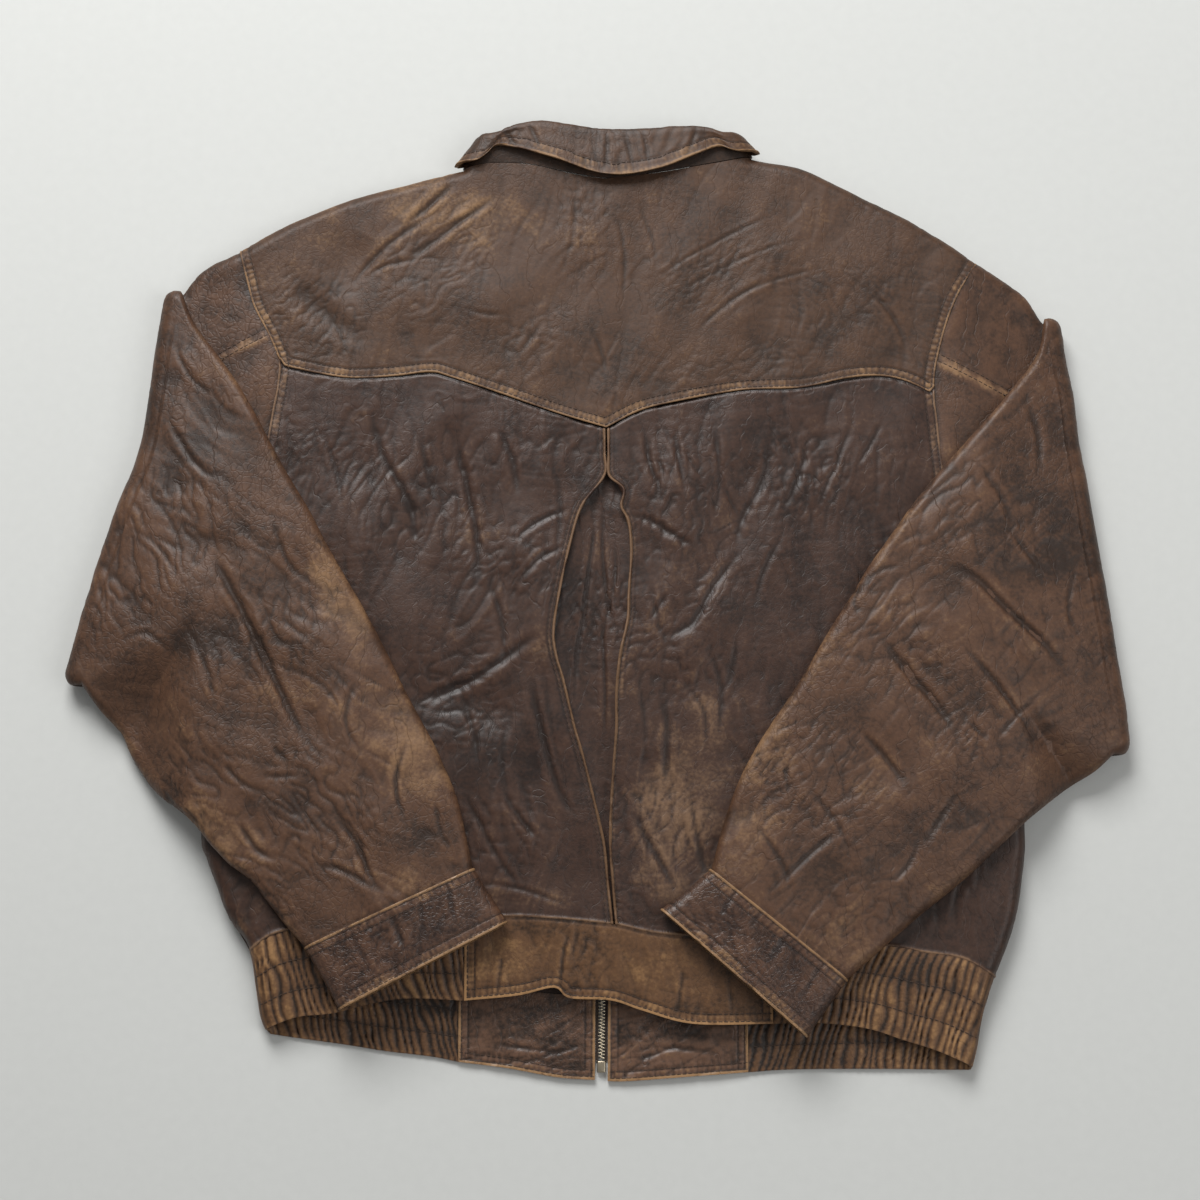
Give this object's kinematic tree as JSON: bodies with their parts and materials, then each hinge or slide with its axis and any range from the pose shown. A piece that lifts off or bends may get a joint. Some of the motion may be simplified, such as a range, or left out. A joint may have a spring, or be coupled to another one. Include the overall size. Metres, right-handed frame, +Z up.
{
  "type": "worn leather jacket",
  "caption": "Worn brown leather blouson lying face down, sleeves folded over its back, with a yoke, a box pleat, a turned-down collar and a gathered waistband.",
  "frame": {"origin": "middle of the underside of the jacket's box, on the surface it lies on", "axes": "+Z up from the surface, +Y from the hem to the collar, +X to the wearer's right"},
  "size_m": [0.8452, 0.7768, 0.0413],
  "materials": {
    "yoke_leather": "worn mid brown, half matt",
    "body_leather": "dark brown, softly glossy",
    "sleeve_leather": "brown, rubbed to tan on its creases and edges",
    "band_leather": "tan brown, rubbed, dark in its grooves",
    "zip_tape": "woven tape, dark brown",
    "zip_metal": "worn nickel-plated brass"
  },
  "bodies": {
    "root": {"back_yoke": "yoke_leather", "back_left": "body_leather", "back_right": "body_leather", "pleat_insert": "body_leather", "front_left": "body_leather", "front_right": "body_leather", "sleeve_top_left": "sleeve_leather", "sleeve_top_right": "sleeve_leather", "sleeve_under_left": "sleeve_leather", "sleeve_under_right": "sleeve_leather", "cuff_left": "band_leather", "cuff_right": "band_leather", "collar": "yoke_leather", "waistband_back": "band_leather", "waistband_side_left": "band_leather", "waistband_side_right": "band_leather", "waistband_front_left": "band_leather", "waistband_front_right": "band_leather", "zip_tape_left": "zip_tape", "zip_tape_right": "zip_tape", "zip_box": "zip_metal", "zip_slider": "zip_metal"}
  },
  "joints": []
}
